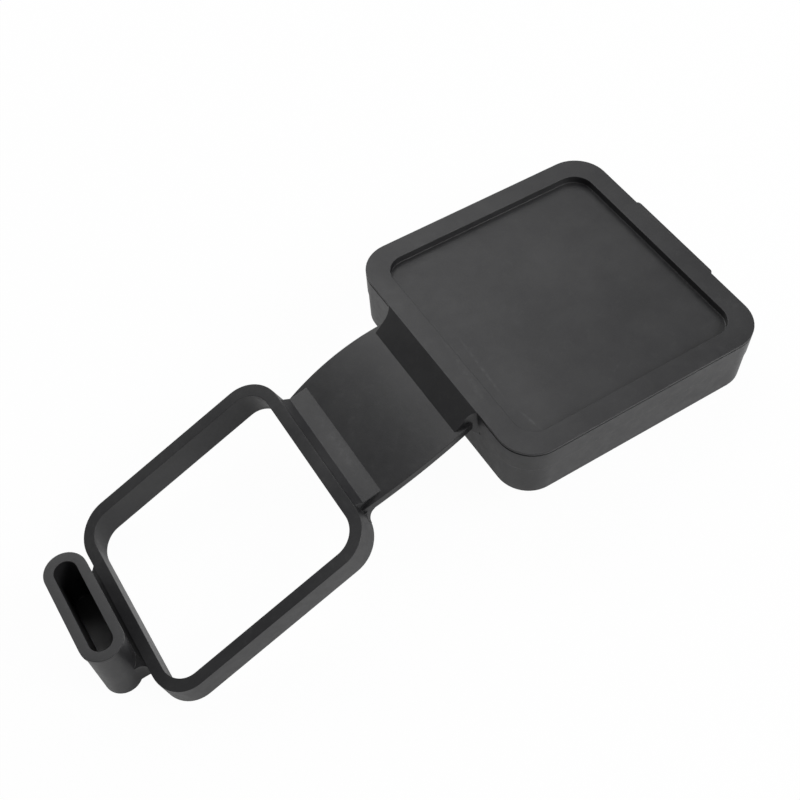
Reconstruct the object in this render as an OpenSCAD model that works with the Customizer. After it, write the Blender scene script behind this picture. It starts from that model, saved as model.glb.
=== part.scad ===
// Rubber cover for a square trailer hitch receiver, moulded in one piece.
// A cap closes the receiver mouth, a ring grips the receiver tube behind it,
// a curved strap ties the two together and a pocket on the ring keeps the
// flat four-way wiring plug clean. It is shown lying on its pocket and on
// the far edge of the cap, with the strap bent as it hangs when taken off.

/* [Cap] */
// Length of the cap face, along the strap
cap_len = 84.4; // [70:0.1:120]
// Width of the cap face
cap_wid = 86; // [70:0.1:120]
// Height of the cap from its face to its mouth
cap_depth = 19.1; // [17:0.1:45]
// Corner radius of the cap face
cap_corner_r = 10.5; // [8:0.1:20]
// How far each cap wall draws in from face to mouth
cap_draft = 0.5; // [0:0.1:2]
// Thickness of the cap walls
cap_wall = 3; // [2:0.1:6]
// Thickness of rubber under the recessed panel
panel_t = 3; // [1.5:0.1:6]
// Width of the raised border round the panel
border_w = 6.4; // [4:0.1:15]
// Depth of the recessed panel
recess_depth = 2.4; // [0.5:0.1:5]
// Corner radius of the recessed panel
recess_r = 6.4; // [2:0.1:12]
// Height of the thin edge above the groove under the face
edge_h = 0.6; // [0.4:0.1:3]
// Width and depth of the groove that runs under the face
edge_groove = 0.5; // [0.2:0.1:1.5]
// Step in the walls at the mould's parting line
parting_step = 0.2; // [0.1:0.1:1]
// Depth of the parting line below the face
parting_z = 8; // [5:0.5:13]

/* [Pull lip] */
// Length of the lip that is pulled to take the cap off
lip_len = 35; // [15:0.5:45]
// How far the lip stands out from the cap
lip_out = 1.7; // [1.6:0.1:8]
// Thickness of the lip
lip_t = 4; // [2:0.1:8]
// Depth of the top of the lip below the face
lip_z = 1.3; // [1.2:0.1:5]
// Corner radius of the lip, seen from above
lip_r = 1.6; // [0.5:0.1:6]

/* [Strap] */
// Width of the strap at its middle
strap_wid = 46; // [25:0.1:48]
// How far each side of the strap bows out between its ends
strap_bow = 1.5; // [0.3:0.1:3]
// Thickness of the strap
strap_t = 2.5; // [2:0.1:5]
// Length of the strap along its bend
strap_len = 39.1; // [25:0.5:90]
// Angle at which the strap leaves the cap, down from the face
strap_start = 13; // [5:1:20]
// Angle through which the strap bends on its way to the ring
strap_bend = 17; // [8:1:24]
// Depth of the strap's top below the cap face
strap_z = 5.2; // [3:0.1:12]
// Length of the web between the cap face and the strap
cap_web_run = 6; // [3:0.5:12]
// Height of the gusset under the strap, against the cap's wall
gusset_h = 1.6; // [0.5:0.1:4]
// Length of the web between the ring and the strap
ring_web_run = 8; // [3:0.5:12]
// Radius of the flares at the ring's end of the strap
flare_r = 3; // [1:0.5:5]
// How far the ends of the webs stand in from the strap's sides
web_inset = 0.8; // [0.2:0.1:3]
// Height and run of the bevel at the top of the ring's web
web_bevel = 1.9; // [0.5:0.1:2.5]

/* [Ring] */
// Length of the opening that slips over the receiver tube
ring_open_len = 64.7; // [55:0.1:90]
// Width of the opening that slips over the receiver tube
ring_open_wid = 59; // [55:0.1:90]
// Thickness of the ring's band
ring_wall = 3.6; // [2.5:0.1:6]
// Height of the ring's band
ring_depth = 9.5; // [9:0.1:16]
// Corner radius of the opening
ring_in_r = 7.4; // [3:0.1:12]
// How far the ring's wall on the pocket side leans out at its bottom
ring_splay = 2.5; // [0:0.1:3]
// How far the ring's side walls lean in at their bottom
ring_lean = 0.6; // [0:0.1:1.5]
// Tilt of the ring's plane from the cap face
ring_tilt = 24; // [15:1:32]
// Height of the ring's top above the strap's top where they meet
ring_rise = 5.3; // [3:0.1:6]
// Drop of the ring's web below the ring's top
ring_web_drop = 2.9; // [1:0.1:3.5]

/* [Connector pocket] */
// Length of the slot for the flat wiring plug
slot_len = 30.4; // [24:0.1:36]
// Width of the slot
slot_wid = 6.6; // [5:0.1:12]
// Depth of the slot
slot_depth = 21.2; // [12:0.1:24]
// Thickness of the pocket's walls
pocket_wall = 2.9; // [1.5:0.1:5]
// Thickness of the pocket's floor
pocket_floor = 3; // [2:0.1:6]
// Height of the collar round the pocket's rim
collar_h = 1.3; // [0.6:0.1:4]
// How far the collar stands out from the pocket
collar_out = 0.4; // [0.2:0.1:1.5]
// How far the pocket's walls draw in towards the bottom
pocket_draft = 0.2; // [0:0.1:1.5]
// Lean of the pocket away from the ring
pocket_lean = 21; // [12:1:28]
// Height of the pocket's rim above the ring's top
pocket_rise = 15.1; // [10:0.1:17]
// Distance of the rim's middle from the ring's outer wall
pocket_off = 1.6; // [1.2:0.1:5]
// Half width of the web that joins the pocket to the ring
pocket_web = 16.5; // [10:0.5:17]
// Radius of that web's flares at the ring
pocket_flare_r = 4.5; // [2:0.5:6]
// Drop of that web below the ring's top
pocket_web_drop = 0.9; // [0.5:0.1:4]

/* [Rest] */
// Height of the rubber that is pressed flat where the cover lies
rest_flat = 0.2; // [0.1:0.05:0.4]

/* [Hidden] */
$fn = 96;
rubber = [0.25, 0.25, 0.26];
bite = 1; // how far a joining piece runs into its neighbour
lap = 0.2; // how far a small fillet runs into the wall behind it
sink = 0.1; // how far the edge of a web dips under the strap's top
slice = 0.1; // thickness of the two outlines that a leaning block joins
past = 0.2; // share of its height by which a leaning block runs past each end
far = 400; // longer than anything it cuts
corner_fn = 64; // sides of the circles in a leaning block
bow_fn = 240; // sides of the large cylinders that bow the strap

ring_len = ring_open_len + 2 * ring_wall;
ring_wid = ring_open_wid + 2 * ring_wall;
ring_out_r = ring_in_r + ring_wall;
strap_end = strap_start + strap_bend;
strap_r = strap_len / (strap_bend * PI / 180);
strap_end_wid = strap_wid - 2 * strap_bow;
pocket_r = slot_wid / 2 + pocket_wall;
pocket_straight = slot_len - slot_wid;
pocket_depth = slot_depth + pocket_floor;

// Places in the side view, as [along, up] from the middle of the cap face
function turned(p, a) = [p.x * cos(a) + p.y * sin(a), p.y * cos(a) - p.x * sin(a)];
function strap_point(a, drop) =
    [-cap_len / 2, -strap_z]
    - strap_r * [sin(a) - sin(strap_start), cos(strap_start) - cos(a)]
    + drop * [sin(a), -cos(a)];
ring_place = strap_point(strap_end, 0);
function from_ring(p) = ring_place + turned(p + [-ring_len / 2, ring_rise], -ring_tilt);
pocket_place = from_ring([-ring_len / 2 - pocket_off, pocket_rise]);
pocket_turn = pocket_lean - ring_tilt;
function from_pocket(p) = pocket_place + turned(p, pocket_turn);

// Low points that the cover lies on, and the tilt that brings both to the ground
cap_foot = [cap_len / 2 - cap_draft - parting_step, -cap_depth];
pocket_foot = from_pocket([pocket_r - collar_out - pocket_draft, -pocket_depth]);
rest_tilt = atan((cap_foot.y - pocket_foot.y) / (cap_foot.x - pocket_foot.x));
rest_up = -turned(cap_foot, rest_tilt).y - rest_flat;

// Furthest points at both ends, which set the middle of the whole cover
lip_tip = turned([cap_len / 2 + lip_out, -lip_z], rest_tilt).x;
pocket_tip = min(
    turned(from_pocket([-pocket_r, -collar_h]), rest_tilt).x,
    turned(from_pocket([-pocket_r + collar_out + pocket_draft, -pocket_depth]), rest_tilt).x
);
rest_along = -(lip_tip + pocket_tip) / 2;

// Flat rounded rectangle
module rounded(len, wid, r) {
    square([len - 2 * r, wid], center = true);
    square([len, wid - 2 * r], center = true);
    for (sx = [-1, 1], sy = [-1, 1])
        translate([sx * (len / 2 - r), sy * (wid / 2 - r)])
            circle(r);
}

// Block with rounded corners whose top is at zero and whose walls draw in going down
module drafted(len, wid, r, h, draft) {
    rotate([90, 0, 0])
        linear_extrude(wid - 2 * r, center = true)
            polygon([[-len / 2, 0], [len / 2, 0], [len / 2 - draft, -h], [-len / 2 + draft, -h]]);
    rotate([90, 0, 90])
        linear_extrude(len - 2 * r, center = true)
            polygon([[-wid / 2, 0], [wid / 2, 0], [wid / 2 - draft, -h], [-wid / 2 + draft, -h]]);
    for (sx = [-1, 1], sy = [-1, 1])
        translate([sx * (len / 2 - r), sy * (wid / 2 - r), -h])
            cylinder(h = h, r1 = r - draft, r2 = r);
}

// Obround bar whose top is at zero, lying across the strap
module obround(straight, r, h, draft = 0) {
    rotate([90, 0, 0])
        linear_extrude(straight, center = true)
            polygon([[-r, 0], [r, 0], [r - draft, -h], [-r + draft, -h]]);
    for (sy = [-1, 1])
        translate([0, sy * straight / 2, -h])
            cylinder(h = h, r1 = r - draft, r2 = r);
}

// Concave corner between the two axes
module inner_corner(r) {
    difference() {
        square(r);
        translate([r, r])
            circle(r);
    }
}

// Side view shape drawn out across the strap
module across(wid) {
    rotate([90, 0, 0])
        linear_extrude(wid, center = true)
            children();
}

module cap_outside() {
    neck_z = edge_h + edge_groove;
    upper_h = parting_z - neck_z;
    upper_draft = cap_draft * upper_h / (cap_depth - neck_z);
    step = upper_draft + parting_step;
    translate([0, 0, -edge_h])
        linear_extrude(edge_h)
            rounded(cap_len, cap_wid, cap_corner_r);
    translate([0, 0, -neck_z])
        linear_extrude(neck_z)
            rounded(cap_len - 2 * edge_groove, cap_wid - 2 * edge_groove, cap_corner_r - edge_groove);
    translate([0, 0, -neck_z])
        drafted(cap_len, cap_wid, cap_corner_r, upper_h, upper_draft);
    translate([0, 0, -parting_z])
        drafted(cap_len - 2 * step, cap_wid - 2 * step, cap_corner_r - step,
            cap_depth - parting_z, cap_draft - upper_draft);
}

module cap_hollow() {
    depth = cap_depth - recess_depth - panel_t;
    translate([0, 0, -cap_depth - 1])
        linear_extrude(depth + 1)
            rounded(cap_len - 2 * cap_wall, cap_wid - 2 * cap_wall, cap_corner_r - cap_wall);
}

module panel_recess() {
    translate([0, 0, -recess_depth])
        linear_extrude(recess_depth + 1)
            rounded(cap_len - 2 * border_w, cap_wid - 2 * border_w, recess_r);
}

module pull_lip() {
    back = cap_len / 2 - cap_draft;
    translate([0, 0, -lip_z - lip_t])
        linear_extrude(lip_t) {
            translate([back, -lip_len / 2])
                square([cap_len / 2 + lip_out - lip_r - back, lip_len]);
            translate([back, -lip_len / 2 + lip_r])
                square([cap_len / 2 + lip_out - back, lip_len - 2 * lip_r]);
            for (sy = [-1, 1])
                translate([cap_len / 2 + lip_out - lip_r, sy * (lip_len / 2 - lip_r)])
                    circle(lip_r);
        }
}

module strap_side() {
    steps = 16;
    angles = [for (i = [0:steps]) strap_start + strap_bend * i / steps];
    in = bite + cap_draft;
    start = strap_point(strap_start, 0);
    end = strap_point(strap_end, 0);
    polygon(concat(
        [start + in * [cos(strap_start), sin(strap_start)]],
        [for (a = angles) strap_point(a, 0)],
        [end - bite * [cos(strap_end), sin(strap_end)]],
        [end - bite * [cos(strap_end), sin(strap_end)] + strap_t * [sin(strap_end), -cos(strap_end)]],
        [for (i = [0:steps]) strap_point(angles[steps - i], strap_t)],
        [start + in * [cos(strap_start), sin(strap_start)] + strap_t * [sin(strap_start), -cos(strap_start)]]
    ));
}

module strap() {
    from = -cap_len / 2;
    middle = (from + ring_place.x) / 2;
    half = (from - ring_place.x) / 2;
    bow_r = (half * half + strap_bow * strap_bow) / (2 * strap_bow);
    intersection() {
        across(strap_wid + 2 * bite)
            strap_side();
        translate([middle, strap_wid / 2 - bow_r, -far / 2])
            cylinder(h = far, r = bow_r, $fn = bow_fn);
        translate([middle, bow_r - strap_wid / 2, -far / 2])
            cylinder(h = far, r = bow_r, $fn = bow_fn);
    }
}

module cap_web() {
    wall = -cap_len / 2;
    in = bite + cap_draft + parting_step;
    foot = asin(sin(strap_start) + cap_web_run / strap_r);
    intersection() {
        across(cap_wid)
            polygon([
                [wall + in, 0],
                [wall, 0],
                strap_point(foot, sink),
                strap_point(foot, strap_t / 2),
                [wall, -strap_z - strap_t - gusset_h],
                [wall + in, -strap_z - strap_t - gusset_h]
            ]);
        translate([0, 0, -far / 2])
            linear_extrude(far) {
                translate([wall - far, -strap_end_wid / 2 + web_inset])
                    square([far + in, strap_end_wid - 2 * web_inset]);
                for (sy = [0, 1])
                    mirror([0, sy, 0])
                        translate([wall + lap, strap_end_wid / 2 - web_inset])
                            mirror([1, 0, 0])
                                inner_corner(flare_r);
            }
    }
}

module ring_web() {
    crease = strap_end - ring_web_run / strap_r * 180 / PI;
    across(strap_end_wid - 2 * web_inset)
        polygon([
            from_ring([ring_len / 2 - bite, -ring_web_drop + web_bevel]),
            from_ring([ring_len / 2, -ring_web_drop + web_bevel]),
            from_ring([ring_len / 2 + web_bevel, -ring_web_drop - web_bevel / 3]),
            strap_point(crease, sink),
            strap_point(crease, strap_t / 2),
            from_ring([ring_len / 2 - bite, -ring_rise - strap_t / 2])
        ]);
}

// Rounded outline of the ring, its share of the way down its walls
module ring_outline(len, wid, r, share) {
    translate([-ring_splay * share / 2, 0, -ring_depth * share])
        linear_extrude(slice)
            for (sx = [-1, 1], sy = [-1, 1])
                translate([
                    sx * ((len + ring_splay * share) / 2 - r),
                    sy * (wid / 2 - ring_lean * share - r)
                ])
                    circle(r, $fn = corner_fn);
}

// Leaning block that runs past the ring's top and bottom
module ring_block(len, wid, r) {
    hull() {
        ring_outline(len, wid, r, -past);
        ring_outline(len, wid, r, 1 + past);
    }
}

module ring_band() {
    difference() {
        intersection() {
            ring_block(ring_len, ring_wid, ring_out_r);
            translate([-far / 2, -far / 2, -ring_depth])
                cube([far, far, ring_depth]);
        }
        ring_block(ring_open_len, ring_open_wid, ring_in_r);
    }
}

// Flares that spread the strap's root along the ring's wall
module strap_flares() {
    translate([ring_len / 2 - lap, 0, -ring_depth])
        linear_extrude(strap_t)
            for (sy = [0, 1])
                mirror([0, sy, 0])
                    translate([0, strap_end_wid / 2 - 2 * lap])
                        inner_corner(flare_r);
}

// Web between the ring and the pocket, ending above the pocket's foot
module pocket_web() {
    reach = pocket_off + pocket_r + bite;
    difference() {
        at_ring()
            translate([-ring_len / 2, 0, -ring_depth])
                linear_extrude(ring_depth - pocket_web_drop) {
                    translate([-reach, -pocket_web])
                        square([reach + bite, 2 * pocket_web]);
                    for (sy = [0, 1])
                        mirror([0, sy, 0])
                            translate([2 * lap, pocket_web])
                                mirror([1, 0, 0])
                                    inner_corner(pocket_flare_r);
                }
        at_pocket()
            translate([-far / 2, -far / 2, -pocket_depth + bite - far])
                cube(far);
    }
}

module pocket_outside() {
    obround(pocket_straight, pocket_r, collar_h);
    translate([0, 0, -collar_h])
        obround(pocket_straight, pocket_r - collar_out, pocket_depth - collar_h, pocket_draft);
}

module pocket_slot() {
    translate([0, 0, 1])
        obround(pocket_straight, slot_wid / 2, slot_depth + 1);
}

module at_ring() {
    translate([ring_place.x, 0, ring_place.y])
        rotate([0, -ring_tilt, 0])
            translate([-ring_len / 2, 0, ring_rise])
                children();
}

module at_pocket() {
    translate([pocket_place.x, 0, pocket_place.y])
        rotate([0, pocket_turn, 0])
            children();
}

// The whole cover in one piece, with its face at zero and the cap's middle above the origin
module moulding() {
    difference() {
        union() {
            cap_outside();
            pull_lip();
            strap();
            cap_web();
            ring_web();
            at_ring() {
                ring_band();
                strap_flares();
            }
            pocket_web();
            at_pocket()
                pocket_outside();
        }
        cap_hollow();
        panel_recess();
        at_pocket()
            pocket_slot();
    }
}

module receiver_cover() {
    color(rubber)
        difference() {
            translate([rest_along, 0, rest_up])
                rotate([0, rest_tilt, 0])
                    moulding();
            translate([-far / 2, -far / 2, -far])
                cube(far);
        }
}

receiver_cover();
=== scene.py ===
import math
import bpy
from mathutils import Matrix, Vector

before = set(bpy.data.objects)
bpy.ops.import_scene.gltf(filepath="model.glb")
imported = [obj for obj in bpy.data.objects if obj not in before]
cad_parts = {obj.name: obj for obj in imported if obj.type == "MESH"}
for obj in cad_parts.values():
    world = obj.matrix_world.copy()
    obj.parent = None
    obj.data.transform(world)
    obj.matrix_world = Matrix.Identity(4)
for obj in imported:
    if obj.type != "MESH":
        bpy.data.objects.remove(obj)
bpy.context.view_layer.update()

mm = 0.001


def toLinear(hexColour):
    # sRGB hex, such as "#2a2a2c", to the linear colour that Blender's sockets take
    channels = [int(hexColour[i:i + 2], 16) / 255 for i in (1, 3, 5)]
    return tuple(c / 12.92 if c <= 0.04045 else ((c + 0.055) / 1.055) ** 2.4 for c in channels) + (1.0,)


def addNode(tree, kind, settings=None, links=None):
    # one node, its settings by attribute or socket name, and its inputs as {socket: (node, output)}
    node = tree.nodes.new(kind)
    for key, value in (settings or {}).items():
        if isinstance(key, str) and hasattr(node, key):
            setattr(node, key, value)
        else:
            node.inputs[key].default_value = value
    for socket, (source, output) in (links or {}).items():
        tree.links.new(source.outputs[output], node.inputs[socket])
    return node


def newMaterial(name):
    material = bpy.data.materials.new(name)
    material.use_nodes = True
    material.node_tree.nodes.clear()
    return material, material.node_tree


# Moulded rubber: carbon-black filled, pressed in a fine matt steel mould, so it has a soft
# grey sheen, a faint orange peel and a little dust and rub on what is handled
mouldedRubber = {
    "deep": "#1c1c1e",      # the rubber itself
    "dustAndHighlight": "#2c2c2d",     # bloom and dust that the rubber picks up, and on edges also a painted highlight
    "scuffed": "#474748",   # a fresh scuff
    "roughness": (0.35, 0.47),
    "roughnessNoise": (0.3, 0.7),       # the part of the noise that goes with it
    "ior": 1.52,
    "noises": {             # size of a spot in mm, detail, roughness of the noise
        "patch": (20, 5, 0.6),
        "rub": (3.0, 6, 0.7),
        "peel": (1.4, 2, 0.5),
        "grain": (0.35, 3, 0.6),        # drawn coarser than the mould's real 0.1 mm
    },
    "dust": {               # from which noise, its low and high, and the share of dust there
        "bloom": ("patch", 0.35, 0.7, 0.9),
        "specks": ("rub", 0.55, 0.75, 0.6),
        "fine dust": ("grain", 0.5, 0.8, 0.5),
    },
    "edgeDustAndHighlight": (0.97, 0.8, 0.45),      # dust and painted highlight on edges: from and to how much an edge turns, and the share there
    "bumps": {"peel": 0.012, "grain": 0.01},    # height in mm
    "softMm": 0.2,          # how round the mould leaves an edge
    "footMm": 1.1,          # and how round it leaves the foot of the recess's wall
    "footFade": (1.0, 0.8),  # from the edge of its spot inwards
    "roundSamples": 8,
    "spots": {              # where in mm, how it lies in degrees, and its half sizes in mm
        "recess foot": ((60.97, 0, 24.3), (0, 10.67, 0), (37.2, 37.9, 1.5)),
        "panel corner": ((31.0, -31.2, 29.5), (0, 0, 100), (6, 0.6, 1.5)),
        "panel right": ((61.0, -29.0, 23.9), (0, 0, 25), (2.5, 0.5, 1)),
        "rim by strap": ((24.6, -10.0, 33.2), (0, 0, 84), (17, 1.3, 1.5)),
        "panel by strap": ((29.9, -8.0, 29.8), (0, 0, 87), (16, 0.6, 1.5)),
        "strap wedge": ((-14.2, -4.0, 23.9), (0, 0, 90), (21, 2.4, 1.5)),
    },
    "scuffs": {             # how strong the scuff on a spot is
        "panel corner": 0.7,
        "panel right": 0.6,
        "rim by strap": 0.5,
        "panel by strap": 0.6,
        "strap wedge": 0.6,
    },
    "scuffBreaks": (0.42, 0.62),        # the part of the noise that breaks a scuff up
}


def makeMouldedRubber(look):
    material, tree = newMaterial("moulded rubber")
    place = addNode(tree, "ShaderNodeTexCoord")
    noises = {}
    for name, (size, detail, rough) in look["noises"].items():
        noises[name] = addNode(tree, "ShaderNodeTexNoise",
                               {"Scale": 1 / (size * mm), "Detail": detail, "Roughness": rough},
                               {"Vector": (place, "Object")})
    spots = {}
    for name, (at, turn, halves) in look["spots"].items():
        spots[name] = addNode(tree, "ShaderNodeMapping",
                              {"vector_type": "TEXTURE", "Location": [c * mm for c in at],
                               "Rotation": [math.radians(d) for d in turn],
                               "Scale": [h * mm for h in halves]},
                              {"Vector": (place, "Object")})

    # how far out in the box round the recess's foot, then how round an edge is there
    reach = addNode(tree, "ShaderNodeVectorMath", {"operation": "ABSOLUTE"},
                    {0: (spots["recess foot"], "Vector")})
    reach = addNode(tree, "ShaderNodeSeparateXYZ", {}, {"Vector": (reach, "Vector")})
    widest = addNode(tree, "ShaderNodeMath", {"operation": "MAXIMUM"}, {0: (reach, "X"), 1: (reach, "Y")})
    widest = addNode(tree, "ShaderNodeMath", {"operation": "MAXIMUM"},
                     {0: (widest, "Value"), 1: (reach, "Z")})
    outer, inner = look["footFade"]
    radius = addNode(tree, "ShaderNodeMapRange",
                     {"From Min": outer, "From Max": inner,
                      "To Min": look["softMm"] * mm, "To Max": look["footMm"] * mm},
                     {"Value": (widest, "Value")})
    soft = addNode(tree, "ShaderNodeBevel", {"samples": look["roundSamples"]},
                   {"Radius": (radius, "Result")})

    # dust lies in patches; edges, which are where the rounded normal leaves the plain one, get the same
    # lighter colour as dust and painted highlight
    plain = addNode(tree, "ShaderNodeNewGeometry")
    turned = addNode(tree, "ShaderNodeVectorMath", {"operation": "DOT_PRODUCT"},
                     {0: (soft, "Normal"), 1: (plain, "Normal")})
    dustAndHighlightShares = [(noises[source], "Fac", *span) for source, *span in look["dust"].values()]
    # along edges the lighter colour is partly dust and partly a painted highlight
    dustAndHighlightShares.append((turned, "Value", *look["edgeDustAndHighlight"]))
    dust = None
    for source, output, low, high, most in dustAndHighlightShares:
        share = addNode(tree, "ShaderNodeMapRange", {"From Min": low, "From Max": high, "To Max": most},
                        {"Value": (source, output)})
        if dust:
            share = addNode(tree, "ShaderNodeMath", {"operation": "ADD", "use_clamp": True},
                            {0: dust, 1: (share, "Result")})
        dust = (share, 0)
    # the lighter colour paints dust, and along edges also a painted highlight
    colour = addNode(tree, "ShaderNodeMix",
                     {"data_type": "RGBA", 6: toLinear(look["deep"]), 7: toLinear(look["dustAndHighlight"])},
                     {"Factor": dust})

    # each scuff is a thin spot that the finer noise breaks up
    low, high = look["scuffBreaks"]
    broken = addNode(tree, "ShaderNodeMapRange", {"From Min": low, "From Max": high},
                     {"Value": (noises["rub"], "Fac")})
    for name, strength in look["scuffs"].items():
        fade = addNode(tree, "ShaderNodeTexGradient", {"gradient_type": "SPHERICAL"},
                       {"Vector": (spots[name], "Vector")})
        part = addNode(tree, "ShaderNodeMath", {"operation": "MULTIPLY"},
                       {0: (fade, "Fac"), 1: (broken, "Result")})
        amount = addNode(tree, "ShaderNodeMath", {"operation": "MULTIPLY", 1: strength, "use_clamp": True},
                         {0: (part, "Value")})
        colour = addNode(tree, "ShaderNodeMix", {"data_type": "RGBA", 7: toLinear(look["scuffed"])},
                         {"Factor": (amount, "Value"), 6: (colour, 2)})

    low, high = look["roughnessNoise"]
    smoothest, roughest = look["roughness"]
    rough = addNode(tree, "ShaderNodeMapRange",
                    {"From Min": low, "From Max": high, "To Min": smoothest, "To Max": roughest},
                    {"Value": (noises["rub"], "Fac")})
    surface = soft
    for name, height in look["bumps"].items():
        surface = addNode(tree, "ShaderNodeBump", {"Strength": 1.0, "Distance": height * mm},
                          {"Height": (noises[name], "Fac"), "Normal": (surface, "Normal")})
    shader = addNode(tree, "ShaderNodeBsdfPrincipled", {"IOR": look["ior"]},
                     {"Base Color": (colour, 2), "Roughness": (rough, "Result"),
                      "Normal": (surface, "Normal")})
    addNode(tree, "ShaderNodeOutputMaterial", {}, {"Surface": (shader, "BSDF")})
    return material


rubber = makeMouldedRubber(mouldedRubber)
print("material ready")

# The cover itself is the CAD piece: its flat facets are joined and each fold gets a small bevel
coverEdges = {
    "weldMm": 0.002,
    "flatDegrees": 0.8,     # facets closer than this to flat become one face
    "edgeDegrees": 14,      # a fold sharper than this is an edge
    "bevelMm": 0.08,        # less than half the step at the parting line
    "segments": 2,
    "largeFaceWeight": 100,  # so that the flats stay flat beside their bevels
}
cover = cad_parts["receiver_cover"]
cover.data.materials.clear()
cover.data.materials.append(rubber)
cover.data.shade_smooth()
if "custom_normal" in cover.data.attributes:
    cover.data.attributes.remove(cover.data.attributes["custom_normal"])
coverSteps = {
    "WELD": {"merge_threshold": coverEdges["weldMm"] * mm},
    "DECIMATE": {"decimate_type": "DISSOLVE", "angle_limit": math.radians(coverEdges["flatDegrees"])},
    "TRIANGULATE": {},      # the bevel goes wrong on large faces with a hole
    "BEVEL": {
        "width": coverEdges["bevelMm"] * mm,
        "segments": coverEdges["segments"],
        "limit_method": "ANGLE",
        "angle_limit": math.radians(coverEdges["edgeDegrees"]),
        "use_clamp_overlap": False,
    },
    "WEIGHTED_NORMAL": {"mode": "FACE_AREA_WITH_ANGLE", "weight": coverEdges["largeFaceWeight"]},
}
for kind, settings in coverSteps.items():
    step = cover.modifiers.new(kind.lower(), kind)
    for key, value in settings.items():
        setattr(step, key, value)
print("cover ready")

# Plain pale studio: a floor that the camera sees as white, with a trace of the cover's shadow
studio = {
    "floor": "#f6f6f6",
    "floorSizeMm": 6000,
    "floorDropMm": 0.02,    # keeps the floor clear of the cover's flats
    "seenWhite": 0.97,      # share of plain white that the camera sees in the floor
    "mirroredWhite": 0.25,  # the same for what the rubber mirrors
    "worldStrength": 0.29,
}


def whiteShare(tree, look):
    # how white a surface looks to the ray that meets it
    path = addNode(tree, "ShaderNodeLightPath")
    seen = addNode(tree, "ShaderNodeMath", {"operation": "MULTIPLY", 1: look["seenWhite"]},
                   {0: (path, "Is Camera Ray")})
    bounced = addNode(tree, "ShaderNodeMath", {"operation": "ADD"},
                      {0: (path, "Is Glossy Ray"), 1: (path, "Is Transmission Ray")})
    mirrored = addNode(tree, "ShaderNodeMath", {"operation": "MULTIPLY", 1: look["mirroredWhite"]},
                       {0: (bounced, "Value")})
    return addNode(tree, "ShaderNodeMath", {"operation": "ADD", "use_clamp": True},
                   {0: (seen, "Value"), 1: (mirrored, "Value")})


def makePaleFloor(look):
    material, tree = newMaterial("pale paper floor")
    matt = addNode(tree, "ShaderNodeBsdfDiffuse", {"Color": toLinear(look["floor"])})
    white = addNode(tree, "ShaderNodeEmission", {"Strength": 1.0})
    mix = addNode(tree, "ShaderNodeMixShader", {},
                  {0: (whiteShare(tree, look), "Value"), 1: (matt, "BSDF"), 2: (white, "Emission")})
    addNode(tree, "ShaderNodeOutputMaterial", {}, {"Surface": (mix, "Shader")})
    return material


reach = studio["floorSizeMm"] * mm / 2
corners = [(-reach, -reach, 0), (reach, -reach, 0), (reach, reach, 0), (-reach, reach, 0)]
floorMesh = bpy.data.meshes.new("floor")
floorMesh.from_pydata(corners, [], [(0, 1, 2, 3)])
floor = bpy.data.objects.new("floor", floorMesh)
floor.location.z = -studio["floorDropMm"] * mm
floor.data.materials.append(makePaleFloor(studio))
bpy.context.scene.collection.objects.link(floor)

world = bpy.data.worlds.new("pale studio")
bpy.context.scene.world = world
world.use_nodes = True
world.node_tree.nodes.clear()
air = world.node_tree
sky = addNode(air, "ShaderNodeBackground", {"Color": (1, 1, 1, 1), "Strength": studio["worldStrength"]})
backdrop = addNode(air, "ShaderNodeBackground", {"Color": (1, 1, 1, 1), "Strength": 1.0})
rays = addNode(air, "ShaderNodeLightPath")
seen = addNode(air, "ShaderNodeMixShader", {},
               {0: (rays, "Is Camera Ray"), 1: (sky, "Background"), 2: (backdrop, "Background")})
addNode(air, "ShaderNodeOutputWorld", {}, {"Surface": (seen, "Shader")})

# Square softboxes on a dome over the cover
softboxes = {
    "sizeMm": 400,
    "awayMm": 850,
    "lamps": {              # compass angle from +X, height angle and watts
        "front softbox": (315, 35, 4.1),
        "back softbox": (90, 35, 1.55),
        "high softbox": (60, 58, 1.2),
        "side softbox": (45, 35, 0.37),
    },
}
for name, (compass, height, watts) in softboxes["lamps"].items():
    light = bpy.data.lights.new(name, "AREA")
    light.size = softboxes["sizeMm"] * mm
    light.energy = watts
    holder = bpy.data.objects.new(name, light)
    turn, up = math.radians(compass), math.radians(height)
    way = Vector((math.cos(turn) * math.cos(up), math.sin(turn) * math.cos(up), math.sin(up)))
    holder.location = way * softboxes["awayMm"] * mm
    holder.rotation_euler = (-way).to_track_quat("-Z", "Y").to_euler()
    bpy.context.scene.collection.objects.link(holder)
print("studio ready")

# The camera stands where the photo was taken from
photoCamera = {
    "placeMm": (-40.29, -174.22, 314.08),
    "turnDegrees": (30.329, 10.417, -32.45),
    "lensMm": 54.674,
    "sensorMm": 36,
    "nearestMm": 10,
}
cameraData = bpy.data.cameras.new("photo camera")
cameraData.lens = photoCamera["lensMm"]
cameraData.sensor_width = photoCamera["sensorMm"]
cameraData.clip_start = photoCamera["nearestMm"] * mm
camera = bpy.data.objects.new("photo camera", cameraData)
camera.location = [c * mm for c in photoCamera["placeMm"]]
camera.rotation_euler = [math.radians(d) for d in photoCamera["turnDegrees"]]
bpy.context.scene.collection.objects.link(camera)
bpy.context.scene.camera = camera
bpy.context.scene.view_settings.view_transform = "Standard"
print("camera ready")
